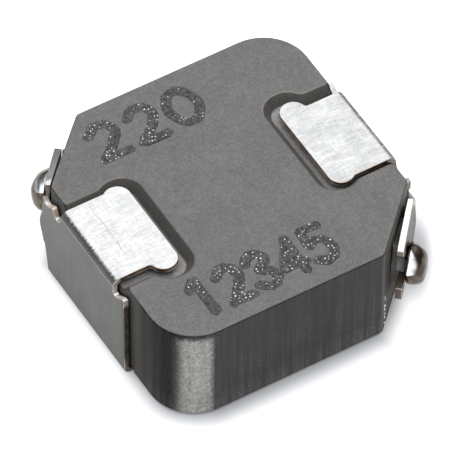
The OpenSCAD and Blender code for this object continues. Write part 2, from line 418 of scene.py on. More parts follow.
def block_outline():
    """Moves round the block: one cut corner and one rounded corner, then the same half round."""
    slope = math.sqrt(0.5)
    tangent = cut_r * math.tan(math.radians(22.5))
    first = Vector((half_l - cut_leg, -half_w))
    last = Vector((half_l, -half_w + cut_leg))
    down = last - Vector((slope, slope)) * tangent
    half = [
        (first.x - tangent, first.y),
        ((first.x - tangent, first.y + cut_r), 45),
        (down.x, down.y),
        ((down.x - slope * cut_r, down.y + slope * cut_r), 45),
        (half_l, half_w - round_r),
        ((half_l - round_r, half_w - round_r), 90),
    ]
    return half + [((-a[0], -a[1]), b) if isinstance(a, tuple) else (-a, -b) for a, b in half]


def recess_cutter():
    """The space round a tab: it runs out through the side, and its walls lean in to the floor."""
    outer_x = -half_l - past_end
    cutter = outline("recess", (outer_x, recess_neck_y[0]), lobed(
        outer_x, recess_lobe_x, recess_end, recess_neck_y, recess_head_y, recess_head_r,
        recess_neck_r))
    lay(cutter, (0, 0, block_top))
    edit(cutter)
    pick("FACE", lambda face: True)
    pull((0, 0, past_top))
    everything()
    face_out()
    pick("FACE", lambda face: face.normal.z < -0.9)
    bpy.ops.mesh.inset(thickness=recess_lean, depth=recess_h)
    done()
    return cutter


def foot_cutter():
    """The shallow pocket under the block for a solder foot."""
    low = Vector((-half_l - past_end, plate_near - foot_pocket_gap, -past_bottom))
    high = Vector(
        (plate_x + foot_l + foot_pocket_gap, plate_foot + foot_pocket_wing_gap, foot_pocket_top))
    deselect()
    bpy.ops.mesh.primitive_cube_add(size=1, location=(low + high) / 2, scale=high - low)
    settle()
    return bpy.context.object


def bore_cutter():
    """The round hole that the wire leaves by, square to the cut corner."""
    deselect()
    bpy.ops.mesh.primitive_cylinder_add(
        vertices=40, radius=wire_d / 2 + bore_gap, depth=bore_l, location=cut_mid + UPWARD * lead_z,
        rotation=cut_out.to_track_quat("Z", "Y").to_euler())
    settle()
    return bpy.context.object


def make_block():
    block = outline("core_block", (-half_l + round_r, -half_w), block_outline())
    lay(block, (0, 0, block_top))
    edit(block)
    pick("FACE", lambda face: True)
    face_out()
    pull((0, 0, block_bottom - block_top))
    everything()
    face_out()
    pick("EDGE", lambda edge: middle(edge).z < block_bottom + 1e-3)
    bevel(foot_rim_r, 3)
    done()
    for maker in (recess_cutter, foot_cutter, bore_cutter):
        cut(block, maker())
        cut(block, turn_round(maker()))
    edit(block)
    for near, size in mouth_r.items():
        pick("EDGE", lambda edge: all(abs(abs(v.co.x) - half_l) < 1e-3 for v in edge.verts)
             and 0.3 < abs(way(edge).y) < 0.9 and middle(edge).z > block_top - recess_h
             and (middle(edge).x < 0 or middle(edge).y < 0) == near)
        bevel(size, 6)
    merge()
    done()
    return soften(block, rim_r, 3, 35)


# ---- terminals -------------------------------------------

def plate_skin(side):
    """The upright plate with its folds begun: the tab's above, the foot's below, the wing's beside.
    The left far shoulder runs on round the wing's fold, and the right one stops short of it."""
    fold_z = tab_top - fold_r
    skin = outline("terminal", (plate_near, foot_fold_r), [
        (plate_foot, foot_fold_r),
        (fold_y, wing_low_z),
        (fold_y, slot_z),
        *far_shoulders[side],
        (neck_y[1], fold_z),
        (neck_y[0], fold_z),
        *near_shoulder,
        (plate_near, near_shoulder_z),
        (plate_near, foot_fold_r),
    ])
    lay(skin, (plate_x, 0, 0), (0, 1, 0), UPWARD)
    edit(skin)
    steps, shoulder_steps = 10, 3
    pick_edges_on(2, fold_z)
    spin(steps, 90, (fold_x, 0, fold_z), (0, -1, 0))
    pick_edges_on(2, foot_fold_r)
    spin(steps, 90, (plate_x + foot_fold_r, 0, foot_fold_r), (0, 1, 0))
    for low, share in ((True, steps), (False, shoulder_steps)):
        pick("EDGE", lambda edge: all(abs(v.co.y - fold_y) < 1e-3 for v in edge.verts)
             and abs(way(edge).z) > 0.9 and (middle(edge).z < slot_z) == low)
        if low or side == "left":
            spin(share, wing_turns[side] * share / steps, (fold_x, fold_y, 0), (0, 0, 1))
    done()
    return skin


def wing_frame(side):
    """Where a wing starts, which way it runs and faces, and how far along it the wire leaves."""
    turn = math.radians(wing_turns[side])
    along = Vector((math.sin(turn), math.cos(turn), 0))
    out = Vector((-math.cos(turn), math.sin(turn), 0))
    start = Vector((fold_x, fold_y, 0)) + out * fold_r
    reach = (start - cut_mid).dot(out) / out.dot(cut_out)
    wire_at = (cut_mid + cut_out * reach - start).dot(along)
    return start, along, out, wire_at


def wing_skin(side):
    start, along, _, wire_at = wing_frame(side)
    half_fork = fork_w / 2
    skin = outline("wing", (0, wing_low_z), [
        (prong_l[0], prong_z),
        (prong_l[0], lead_z - half_fork),
        (wire_at, lead_z - half_fork),
        ((wire_at, lead_z), -180),
        (wire_at + fork_flare, lead_z + half_fork),
        (prong_l[1], wing_top_z[1] - prong_tip),
        (prong_l[1], wing_top_z[1]),
        (wing_step, wing_top_z[0]),
        (wing_step, slot_z),
        (0, slot_z),
        (0, wing_low_z),
    ])
    return lay(skin, start, along, UPWARD)


def foot_skin():
    end_x = plate_x + foot_l
    corner = end_x - foot_corner_r
    start_x = plate_x + foot_fold_r
    return outline("foot", (start_x, plate_near), [
        (corner, plate_near),
        ((corner, plate_near + foot_corner_r), 90),
        (end_x, plate_foot - foot_corner_r),
        ((corner, plate_foot - foot_corner_r), 90),
        (start_x, plate_foot),
        (start_x, plate_near),
    ])


def bulge(skin, out):
    """Pushes the middle of the wing's fold outwards, where the sheet was crowded as it bent. Extra
    cuts across the plate and the wing let the surface follow."""
    edit(skin)
    start, along, _, _ = wing_frame("left")
    cuts = [((0, 0, level), UPWARD) for level in (1.05, 1.22, bulge_z, 1.6, 1.8)]
    cuts += [(start + along * reach, along) for reach in (0.25, 0.45)]
    for place, across in cuts:
        everything()
        bpy.ops.mesh.bisect(plane_co=place, plane_no=across)
    pick("VERT", lambda v: abs(v.co.z - bulge_z) < 0.01 and fold_y - 0.01 < v.co.y < fold_y + 0.15)
    bpy.ops.transform.translate(
        value=(0, out, 0), use_proportional_edit=True, use_proportional_connected=True,
        proportional_edit_falloff="SMOOTH", proportional_size=bulge_reach)
    done()


def make_terminal(name, side):
    head = (neck_y[0] - lobe_out[0], neck_y[1] + lobe_out[1])
    tab = outline("tab", (fold_x, neck_y[0]), lobed(
        fold_x, tab_end - lobe_r, tab_end, neck_y, head, lobe_r, lobe_fillet_r))
    lay(tab, (0, 0, tab_top))
    terminal = join([plate_skin(side), tab, foot_skin(), wing_skin(side)])
    terminal.name = name
    bulge(terminal, bulge_out[side])
    if max(terminal.data.polygons, key=lambda face: face.area).normal.x > 0:
        flip(terminal)
    for _ in range(3):
        terminal.data.materials.append(None)
    thicken(terminal, sheet_t, rim_slot=1)
    # the wing's inner face is drawn in a little towards its tip
    start, along, out, _ = wing_frame(side)
    for vertex in terminal.data.vertices:
        place = vertex.co - start
        if place.dot(along) > 0.1 and place.dot(out) < -0.5 * sheet_t and vertex.co.y > fold_y:
            vertex.co -= out * wing_extra * min(place.dot(along), 1)
    return soften(terminal, edge_r, 3, 50, edge_slot=2)


# ---- weld beads and crust --------------------------------

def uneven(obj, strength, size):
    """Pushes a surface in and out a little, in soft lumps of the given size."""
    lumps = bpy.data.textures.new(obj.name + "_lumps", "CLOUDS")
    lumps.noise_scale = size
    apply(obj, "DISPLACE", texture=lumps, strength=strength, mid_level=0.5)


def make_bead(name, side):
    """A drop of molten metal that froze over the wire's end: a flattened dome on the wing."""
    width, rise = bead_sizes[side]
    power = 2 / bead_squareness[side]
    profile = []
    for ring in range(bead_rings + 1):
        angle = math.radians(90) * (1 - ring / bead_rings)
        profile.append(
            Vector((width / 2 * math.cos(angle) ** power, 0, rise * math.sin(angle) ** power)))
    profile.append(Vector((0, 0, 0)))
    bead = single_corner(name, profile[0])
    for before, after in zip(profile, profile[1:]):
        pull(after - before)
    everything()
    spin(bead_sides, 360, (0, 0, 0), UPWARD)
    merge()
    face_out()
    done()
    for vertex in bead.data.vertices:
        vertex.co.x -= bead_sags[side] * vertex.co.z / rise
    start, along, out, wire_at = wing_frame(side)
    seat = start + along * wire_at + UPWARD * lead_z + out * bead_lift
    lay(bead, seat, UPWARD, UPWARD.cross(out) * -1)
    apply(bead, "SUBSURF", levels=1, render_levels=1)
    for strength, size in bead_lumps:
        uneven(bead, strength, size)
    bpy.ops.object.shade_smooth()
    return bead


def make_residue(name):
    """The crust that the welding leaves on the cut corner, behind the wing. It is thickest and
    highest behind the wing's tip."""
    size = crust_high - crust_low
    deselect()
    bpy.ops.mesh.primitive_grid_add(
        x_subdivisions=30, y_subdivisions=30, size=1, location=(*(crust_low + crust_high) / 2, 0),
        scale=(*size, 1))
    settle()
    residue = bpy.context.object
    residue.name = name
    for vertex in residue.data.vertices:
        shift = noise.noise_vector(vertex.co * 5)
        share = (vertex.co.y - crust_low.y) / size.y
        heap = max(0, min(0.3, -0.1 - vertex.co.x, (vertex.co.x - crust_low.x) * 2)) * share
        vertex.co += Vector((shift.x * 0.05, shift.y * 0.03, shift.z * 0.015))
        vertex.co += Vector((0, heap * 0.45, heap * 0.25))
    across = Vector((-1, -1, 0)).normalized() - cut_out * crust_lean
    lay(residue, cut_mid + cut_out * crust_out, across, UPWARD)
    thicken(residue, crust_t)
    smooth_under(50)
    return residue


# ---- winding ---------------------------------------------

def make_winding():
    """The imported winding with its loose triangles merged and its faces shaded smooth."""
    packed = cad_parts["coil_winding"]
    winding = packed.copy()
    winding.data = packed.data.copy()
    winding.name = "winding"
    bpy.context.collection.objects.link(winding)
    winding.parent = None
    use(winding)
    settle()
    winding.scale = (1 / MM, 1 / MM, 1 / MM)
    settle(location=False, rotation=False)
    edit(winding)
    merge()
    face_out()
    done()
    smooth_under(50)
    return winding


# ---- burnt marks -----------------------------------------

# Each digit is drawn in a cell one unit wide and high, as strokes of points with round ("r") or
# sharp ("s") turns. A stroke marked True closes on itself.
digits = {
    "0": [(True, [(0.5, 1, "r"), (1, 0.72, "r"), (1, 0.28, "r"), (0.5, 0, "r"), (0, 0.28, "r"),
                  (0, 0.72, "r")])],
    "1": [(False, [(0.12, 0.8, "s"), (0.55, 1, "s")]),
          (False, [(0.55, 1, "s"), (0.55, 0, "s")])],
    "2": [(False, [(0, 0.8, "r"), (0.5, 1, "r"), (0.98, 0.76, "r"), (0.7, 0.4, "r"),
                   (0, 0, "s")]),
          (False, [(0, 0, "s"), (1, 0, "s")])],
    "3": [(False, [(0.02, 0.84, "r"), (0.5, 1, "r"), (0.95, 0.77, "r"), (0.42, 0.53, "s")]),
          (False, [(0.42, 0.53, "s"), (1, 0.27, "r"), (0.5, 0, "r"), (0, 0.15, "r")])],
    "4": [(False, [(1.02, 0.24, "s"), (0, 0.24, "s")]),
          (False, [(0, 0.24, "s"), (0.78, 1, "s")]),
          (False, [(0.78, 1, "s"), (0.78, 0, "s")])],
    "5": [(False, [(0.95, 1, "s"), (0.12, 1, "s")]),
          (False, [(0.12, 1, "s"), (0.06, 0.56, "s")]),
          (False, [(0.06, 0.56, "s"), (0.55, 0.63, "r"), (1, 0.32, "r"), (0.5, 0, "r"),
                   (0, 0.1, "r")])],
}

# the text, its first cell's low corner, the cell's width and height, and the pitch of the cells
marks = [
    ("220", (-1.95, 1.95), (0.6, 0.96), 0.96),
    ("12345", (-2.33, -2.92), (0.48, 0.97), 0.718),
]
stroke_r = 0.122
mark_thick = 0.006
drop_seat = mark_thick * 0.6
# how fine the ragged edges of the strokes are, and how far they stray
mark_ragged = ((14, 0.035), (45, 0.012))

# the drops: how many, their groups, how far they stray and keep apart, their radius and flatness
drops_per_digit = 24
drop_group = (2, 9)
drop_stray, drop_spacing = 0.16, 0.062
drop_r = (0.012, 0.025)
drop_flat = 0.45

# the specks: how many, their place in from the corner's edges, their radius and their height
speck_count = 12
speck_in, speck_along = 0.065, 0.06
speck_r = (0.014, 0.028)
speck_z = (0.2, 1.15)


def stroke_curve(closed, points, corner, cell):
    curve = bpy.data.curves.new("stroke", "CURVE")
    curve.dimensions = "3D"
    curve.resolution_u = 8
    curve.bevel_resolution = 2
    curve.use_fill_caps = True
    line = curve.splines.new("BEZIER")
    line.bezier_points.add(len(points) - 1)
    line.use_cyclic_u = closed
    for knot, (across, up, turn) in zip(line.bezier_points, points):
        knot.co = (corner[0] + across * cell[0], corner[1] + up * cell[1], 0)
        knot.handle_left_type = knot.handle_right_type = "AUTO" if turn == "r" else "VECTOR"
    stroke = bpy.data.objects.new("stroke", curve)
    bpy.context.collection.objects.link(stroke)
    return stroke


def middle_line(stroke):
    """The corners along a stroke while it has no thickness yet."""
    drawn = stroke.evaluated_get(bpy.context.evaluated_depsgraph_get())
    line = [v.co.copy() for v in drawn.to_mesh().vertices]
    drawn.to_mesh_clear()
    if len(line) == 2:
        line = [line[0].lerp(line[1], part / 12) for part in range(13)]
    return line


def make_mark(text, corner, cell, pitch):
    """One row of digits, as flat burnt strokes on the marked face, and the middle of each stroke."""
    strokes, track, capped = [], [], set()
    for place, digit in enumerate(text):
        for closed, points in digits[digit]:
            stroke = stroke_curve(closed, points, (corner[0] + place * pitch, corner[1]), cell)
            use(stroke)
            track.append(middle_line(stroke))
            stroke.data.bevel_depth = stroke_r
            bpy.ops.object.convert(target="MESH")
            strokes.append(bpy.context.object)
            ends = [] if closed else [track[-1][0], track[-1][-1]]
            for end in ends:
                if end.to_tuple(3) in capped:
                    continue
                capped.add(end.to_tuple(3))
                strokes.append(ball(stroke_r, end, 12))
    mark = gather(strokes)
    mark.name = "mark_" + text
    for vertex in mark.data.vertices:
        shift = Vector()
        for fineness, reach in mark_ragged:
            shift += noise.noise_vector(vertex.co * fineness) * reach
        vertex.co.x += shift.x
        vertex.co.y += shift.y
        vertex.co.z = block_top + vertex.co.z / stroke_r * mark_thick
    use(mark)
    bpy.ops.object.shade_smooth()
    return mark, track


def make_glints(track, count, name):
    """Tiny drops of melted metal along the strokes of a mark, in loose groups."""
    drop, drops, places = ball(1), [], []
    knots = [before.lerp(after, part / 4) for line in track
             for before, after in zip(line, line[1:]) for part in range(4)]
    while len(drops) < count:
        heart = luck.choice(knots)
        for _ in range(luck.randint(*drop_group)):
            place = heart + Vector((luck.gauss(0, drop_stray), luck.gauss(0, drop_stray), 0))
            near = min((place - point).length for point in knots)
            crowded = any((place - other).length < drop_spacing for other in places)
            if near > stroke_r * 0.8 or crowded:
                continue
            places.append(place)
            radius = luck.uniform(*drop_r)
            copy = drop.copy()
            copy.data = drop.data.copy()
            bpy.context.collection.objects.link(copy)
            copy.location = (place.x, place.y, block_top + drop_seat)
            copy.scale = (radius, radius, min(radius * drop_flat, mark_rise - drop_seat))
            drops.append(copy)
    bpy.data.objects.remove(drop)
    glints = gather(drops)
    settle()
    bpy.ops.object.shade_smooth()
    glints.name = name
    return glints


def make_spatter():
    """Specks of weld metal caught on the front edge of the right cut corner."""
    foot = Vector((half_l - cut_leg + speck_in, -half_w + speck_in, 0))
    specks = []
    for _ in range(speck_count):
        along = luck.uniform(0, speck_along)
        specks.append(ball(luck.uniform(*speck_r),
                           foot + Vector((along, along, luck.uniform(*speck_z)))))
        bpy.ops.object.shade_smooth()
    spatter = join(specks)
    spatter.name = "spatter"
    return spatter


# ---- materials -------------------------------------------

class Nodes:
    """Short ways to lay down nodes and join them."""

    def __init__(self, tree):
        self.tree = tree

    def add(self, kind, **settings):
        node = self.tree.nodes.new("ShaderNode" + kind)
        for key, value in settings.items():
            setattr(node, key, value)
        return node

    def put(self, socket, value):
        if isinstance(value, bpy.types.NodeSocket):
            self.tree.links.new(value, socket)
        else:
            socket.default_value = value

    def put_colour(self, socket, colour):
        self.put(socket, (*colour, 1) if isinstance(colour, tuple) else colour)

    def parts(self, vector):
        node = self.add("SeparateXYZ")
        self.put(node.inputs[0], vector)
        return node.outputs[0], node.outputs[1], node.outputs[2]

    def sum(self, operation, *values):
        node = self.add("Math", operation=operation)
        for socket, value in zip(node.inputs, values):
            self.put(socket, value)
        return node.outputs[0]

    def plus(self, total, *others):
        for other in others:
            total = self.sum("ADD", total, other)
        return total

    def times(self, total, *others):
        for other in others:
            total = self.sum("MULTIPLY", total, other)
        return total

    def minus(self, first, second):
        return self.sum("SUBTRACT", first, second)

    def size_of(self, value):
        return self.sum("ABSOLUTE", value)

    def gap(self, first, second):
        """The distance between two values."""
        return self.size_of(self.minus(first, second))

    def slant(self, first, second):
        """The length of the slant between two lengths that are square to each other."""
        return self.sum(
            "SQRT", self.plus(self.sum("POWER", first, 2), self.sum("POWER", second, 2)))

    def toward(self, direction, *vector):
        """How far a vector of two or three parts reaches in a direction."""
        return self.plus(*(self.times(part, share) for part, share in zip(vector, direction)))

    def step(self, value, low, high, start=0.0, end=1.0, kind="SMOOTHSTEP"):
        """Goes softly from start to end while the value goes from low to high."""
        node = self.add("MapRange", interpolation_type=kind)
        for key, number in zip(("Value", "From Min", "From Max", "To Min", "To Max"),
                               (value, low, high, start, end)):
            self.put(node.inputs[key], number)
        return node.outputs[0]

    def zone(self, *limits):
        """Where every value is past its limits: each goes from none at the first of its two
        levels to all at the second, which may be the lower one."""
        return self.times(*(self.step(value, none, full) if none < full else
                            self.step(value, full, none, 1, 0) for value, none, full in limits))

    def vary(self, value, start, end):
        """Spreads most of a noise's range over start to end."""
        return self.step(value, 0.3, 0.7, start, end)

    def between(self, share, start, end):
        return self.step(share, 0, 1, start, end)

    def blend(self, share, first, second):
        node = self.add("Mix", data_type="RGBA")
        self.put(node.inputs[0], share)
        self.put_colour(node.inputs[6], first)
        self.put_colour(node.inputs[7], second)
        return node.outputs[2]

    def cover(self, base, share, colour, *factors):
        """Lays a colour, made lighter or darker by each factor, over its share of a base."""
        return self.blend(share, base, self.shade(colour, *factors))

    def shade(self, colour, *factors):
        """A colour made lighter or darker by each factor."""
        for factor in factors:
            node = self.add("VectorMath", operation="SCALE")
            self.put(node.inputs[0], colour)
            self.put(node.inputs["Scale"], factor)
            colour = node.outputs[0]
        return colour


class Board(Nodes):
    """The nodes of one material. Lengths are in millimetres, measured from the part's origin."""

    def __init__(self, name):
        self.material = bpy.data.materials.new(name)
        self.material.use_nodes = True
        super().__init__(self.material.node_tree)
        self.shader = self.tree.nodes["Principled BSDF"]
        where = self.add("TexCoord")
        self.place = self.stretch(where.outputs["Object"], (1 / MM, 1 / MM, 1 / MM))
        self.x, self.y, self.z = self.parts(self.place)
        self.side_x, self.side_y, self.up = self.parts(where.outputs["Normal"])

    def stretch(self, place, scale):
        node = self.add("Mapping", vector_type="POINT")
        self.put(node.inputs["Vector"], place)
        self.put(node.inputs["Scale"], scale)
        return node.outputs[0]

    def free_edge(self):
        """Place across an end, towards the side where its plate has a free edge."""
        return self.times(self.y, self.sum("SIGN", self.x))

    def noise(self, scale, detail=2.0, place=None, roughness=0.5):
        node = self.add("TexNoise")
        for key, value in zip(("Vector", "Scale", "Detail", "Roughness"),
                              (place or self.place, scale, detail, roughness)):
            self.put(node.inputs[key], value)
        return node.outputs[0]

    def streaks(self, scale, detail=3, roughness=0.5):
        """Noise with a scale of its own along each axis."""
        return self.noise(1, detail, self.stretch(self.place, scale), roughness)

    def mottle(self, scale, detail, first, second):
        """Two colours in soft patches."""
        return self.blend(self.step(self.noise(scale, detail), 0.35, 0.65), first, second)

    def bump(self, height, distance, strength):
        node = self.add("Bump")
        self.put(node.inputs["Height"], height)
        node.inputs["Distance"].default_value = distance * MM
        node.inputs["Strength"].default_value = strength
        self.put(self.shader.inputs["Normal"], node.outputs[0])

    def finish(self, colour, roughness, metallic=0.0):
        self.put_colour(self.shader.inputs["Base Color"], colour)
        self.put(self.shader.inputs["Roughness"], roughness)
        self.put(self.shader.inputs["Metallic"], metallic)
        return self.material


def powder_material():
    """Pressed metal powder: a fine-grained top, and sides that the die dragged dark and smooth."""
    board = Board("pressed_powder")
    x, y, z = board.x, board.y, board.z
    far_x, far_y = board.size_of(x), board.size_of(y)
    grain, speck = board.noise(8, 3), board.noise(24, 2)
    face = board.shade(
        board.mottle(0.8, 2, (0.19, 0.181, 0.177), (0.18, 0.181, 0.172)),
        board.vary(board.noise(1.7), 0.95, 1.05), board.vary(grain, 0.92, 1.08),
        board.step(speck, 0.25, 0.75, 0.8, 1.22))
    drag = board.streaks((9, 9, 0.25))
    scratch = board.streaks((38, 38, 1.2), 2)
    ends = board.step(board.size_of(board.side_x), 0.35, 0.95)
    # painted light: the walls are painted lighter towards the bottom, standing in for light thrown
    # up from the bright floor
    wall = board.shade(
        (0.0405, 0.0397, 0.0375), board.step(drag, 0.3, 0.72, 0.66, 1.42),
        board.step(scratch, 0.3, 0.75, 0.82, 1.3), board.vary(speck, 0.72, 1.3),
        board.between(ends, 1, 0.64), board.step(z, 0.03, 0.75, 3.2, 1.2),
        board.step(z, 0.75, 2.4, 1, 0.72))
    # the plates kept the die's grime off the walls behind them
    behind = board.times(ends, board.zone((far_y, 2.15, 1.75)))
    wall = board.cover(wall, behind, (0.12, 0.113, 0.102), board.vary(speck, 0.8, 1.2))
    # painted highlight: the rounded corners are painted light, and a little metallic, in an upright
    # band where they would mirror the bright floor in front
    off = board.size_of(board.toward((0.848, -0.53), x, y))
    off = board.plus(
        off, board.step(board.noise(16, 2), 0.2, 0.8, -0.03, 0.03), board.vary(drag, -0.03, 0.03))
    edge = board.plus(z, board.step(board.noise(9, 2), 0.2, 0.8, -0.04, 0.04))
    painted_highlight_band = board.times(board.zone((off, 0.17, 0.42), (board.size_of(board.plus(x, y)), 5.6, 5.8),
                                  (edge, block_top - 0.04, block_top - 0.26)),
                       board.sum("POWER", board.zone((off, 1.25, 0.82)), 1.6))
    wall = board.cover(
        wall, painted_highlight_band, (0.44, 0.425, 0.395), board.vary(speck, 0.7, 1.25),
        board.vary(grain, 0.85, 1.12), board.vary(drag, 0.85, 1.15),
        board.step(z, 0.03, 0.5, 1.35, 1))
    # the cut corners are stained brown by the welding
    cut_face = board.step(board.gap(board.side_x, board.side_y), 1.25, 1.4)
    wall = board.cover(wall, cut_face, (0.073, 0.065, 0.056), board.vary(speck, 0.6, 1.5))
    # painted light: the recesses' walls and floors are painted paler, the floors most of all in the
    # nook by each tab's lobe, to lift the shade under the tabs
    dent = board.zone((far_x, 3.36, 3.3), (far_y, 2.35, 2.3))
    wall = board.cover(wall, dent, (0.115, 0.11, 0.103), board.vary(speck, 0.85, 1.15))
    low = board.times(dent, board.zone((z, block_top - 0.1, block_top - 0.2)))
    painted_light_nook = board.zone((far_x, 2.3, 2.15), (far_y, 0.9, 1.15))
    face = board.shade(
        face, board.between(low, 1, 1.5), board.between(board.times(low, painted_light_nook), 1, 1.3))
    # painted highlight: the recesses' far rims are painted pale where their rounded edges catch the
    # light
    rim_highlight = board.times(
        board.step(board.gap(board.up, 0.9), 0.03, 0.09, 0.9, 0),
        board.zone((far_x, 3.36, 3.3), (y, 1.1, 1.5), (y, 2.35, 2.3)))
    face = board.blend(rim_highlight, face, (0.34, 0.31, 0.28))
    flat = board.step(board.up, 0.72, 0.93)
    matt = board.sum("MAXIMUM", flat, board.between(ends, 0.4, 0))
    board.put(board.shader.inputs["Specular IOR Level"], board.between(matt, 0.04, 0.5))
    board.bump(speck, 0.004, 0.5)
    return board.finish(
        board.blend(flat, wall, face), board.between(flat, 0.45, 0.62),
        board.between(painted_highlight_band, 0.0, 0.3))


def scratch_line(board, start, end):
    """A thin broken scratch between two places on the top."""
    start, run = Vector(start), Vector(end) - Vector(start)
    side = Vector((run.y, -run.x)).normalized()
    ahead = run.normalized()
    off = board.plus(
        board.toward(side, board.x, board.y), board.step(board.noise(2.5), 0, 1, -0.05, 0.05))
    off = board.gap(off, start.dot(side))
    on = board.gap(board.toward(ahead, board.x, board.y), (start + run / 2).dot(ahead))
    return board.times(
        board.zone((off, 0.022, 0.008), (on, run.length / 2, run.length / 2 - 0.1)),
        board.step(board.noise(8), 0.38, 0.6, 0.05, 0.5))


def tin_material(scratches, level):
    """Tinned sheet with painted light and shade: painted as bright as the given level where it faces
    up, on the flat tab, and painted dark on the upright plate."""
    board = Board("tin_plate")
    along = board.streaks((3.5, 24, 10), 4, 0.6)
    across = board.streaks((19, 5, 10), 3, 0.6)
    bright = board.shade(
        (level, level, level), board.vary(along, 0.87, 1.13), board.vary(across, 0.94, 1.06),
        board.vary(board.noise(2.2, 4), 0.92, 1.08),
        board.step(board.noise(17, 3), 0.27, 0.5, 0.86, 1.03))
    for start, end in scratches:
        bright = board.blend(scratch_line(board, start, end), bright, (0.3, 0.3, 0.29))
    # painted shade: the plate is painted darker along its free edge, which rolled over a little as
    # it was sheared
    dull = board.shade(
        (0.109, 0.112, 0.103), board.vary(board.streaks((10, 34, 1.1)), 0.86, 1.14),
        board.vary(board.noise(1.6, 3), 0.93, 1.07),
        board.step(board.free_edge(), 1.38, 1.53, 1, 0.5))
    # the welding browned the wings
    wing = board.step(board.size_of(board.y), 1.95, 2.2)
    dull = board.cover(dull, wing, (0.058, 0.049, 0.04), board.vary(board.noise(8, 4), 0.5, 1.7))
    # the tab's fold catches the light along one line
    crease = board.zone(
        (board.gap(board.up, 0.1), 0.07, 0.02), (board.z, tab_top - 0.4, tab_top - 0.3))
    dull = board.blend(board.times(crease, 0.6), dull, (0.5, 0.5, 0.44))
    # painted light: faces that look up are painted bright, upright faces dark
    ragged = board.plus(board.up, board.vary(board.streaks((5, 45, 5)), -0.2, 0))
    painted_light_share = board.step(ragged, 0.69, 0.8)
    board.bump(board.plus(along, across), 0.002, 0.04)
    return board.finish(board.blend(painted_light_share, dull, bright), board.between(painted_light_share, 0.45, 0.3), 1.0)


def cut_edge_material(tip, root, fold, crook_copper_and_light):
    """Sheared edges: copper-brown where they stand upright and painted bright where they face up, a
    painted highlight from the light above. They take the given colours on top of the wing's tip and
    root, and the given colours of painted highlight and shade at its fold and on the far shoulder."""
    board = Board("cut_edge")
    z, far_x, free_edge = board.z, board.size_of(board.x), board.free_edge()
    spots = board.noise(7, 3)
    brown = board.blend(board.step(spots, 0.4, 0.62), (0.16, 0.135, 0.115), (0.22, 0.19, 0.16))
    # the tab's edges are copper below and tinned above
    tab = board.zone((far_x, 3.3, 3.1), (z, 2.2, 2.3))
    upper = board.plus(z, board.vary(board.noise(4, 2), -0.03, 0.03))
    upper = board.step(upper, tab_top - 0.09, tab_top - 0.05)
    brown = board.blend(tab, brown, board.blend(upper, (0.66, 0.62, 0.55), (0.27, 0.15, 0.1)))
    painted_light_white = board.shade((0.95, 0.94, 0.93), board.vary(spots, 0.85, 1.05))
    beyond = board.step(board.size_of(board.y), 2.25, 2.35)
    wing_top = board.blend(board.step(free_edge, -3.1, -2.5), tip, root)
    painted_light_white = board.cover(painted_light_white, beyond, wing_top, board.vary(spots, 0.9, 1))
    # painted highlight: the shoulders' scooped edges are painted bright, and coppery beside the
    # tab's far side
    shoulder = board.zone((far_x, 3.32, 3.4), (z, 2.2, 2.35))
    fold_side = (free_edge, -1.76, -1.83)
    scoop_painted_light = board.blend(board.step(free_edge, -1, 1), crook_copper_and_light, (0.68, 0.67, 0.66))
    scoop_painted_light = board.blend(board.zone(fold_side), scoop_painted_light, fold)
    brown = board.cover(brown, shoulder, scoop_painted_light, board.step(spots, 0.3, 0.6, 0.75, 1))
    # painted highlight and shade: the dip slopes and the fold take the given colours
    dip = board.zone((free_edge, -1.84, -1.78), (free_edge, -1.4, -1.5))
    painted_light_white = board.blend(board.times(dip, 0.7), painted_light_white, crook_copper_and_light)
    painted_light_white = board.blend(board.zone(fold_side, (free_edge, -2.06, -1.98)), painted_light_white, fold)
    low = board.zone((z, 1.7, 1.5))
    painted_light_white = board.blend(low, painted_light_white, (0.3, 0.25, 0.18))
    dark = board.sum("MAXIMUM", shoulder, board.times(low, beyond))
    # painted highlight: faces that look up are painted bright
    return board.finish(
        board.blend(board.step(board.up, 0.3, 0.75), brown, painted_light_white), board.vary(spots, 0.28, 0.42),
        board.between(dark, 1, 0.3))


def copper_line_material():
    """The thin line of bare copper that the shear leaves along every edge of the sheet."""
    board = Board("bare_copper_line")
    colour = board.blend(
        board.step(board.noise(5, 3), 0.38, 0.6), (0.38, 0.25, 0.18), (0.44, 0.38, 0.33))
    grimy = board.zone((board.free_edge(), 1.4, 1.5), (board.z, 0.35, 0.6), (board.z, 2.3, 2.2))
    return board.finish(board.blend(grimy, colour, (0.1, 0.08, 0.065)), 0.35, 1.0)


def bead_material(facing, spread, level, stain):
    """Frozen weld metal, browned by heat, with a painted highlight: one side is painted silvery. The
    arguments: the way that side faces, how near to it a surface must face to stay silvery, how
    bright it is, and how far up the stain climbs it on the slant."""
    board = Board("weld_metal")
    patch = board.noise(3.2, 3)
    climb = board.toward((0.395, 0.656, 0.642), board.x, board.y, board.z)
    light = board.toward(Vector(facing).normalized(), board.side_x, board.side_y, board.up)
    light = board.plus(
        light, board.vary(patch, -0.025, 0.025),
        board.step(climb, stain - 0.03, stain + 0.03, -0.3, 0))
    brown = board.mottle(5, 2, (0.062, 0.05, 0.039), (0.132, 0.11, 0.088))
    # painted highlight: the side that faces the given way is painted silvery
    highlight_silver = board.blend(
        board.step(patch, 0.35, 0.65), (0.88 * level, 0.91 * level, 0.95 * level),
        (level, level, level * 1.02))
    board.bump(board.noise(11, 3), 0.01, 0.06)
    return board.finish(
        board.blend(board.step(light, spread - 0.12, spread + 0.06), brown, highlight_silver),
        board.vary(patch, 0.16, 0.28), 1.0)


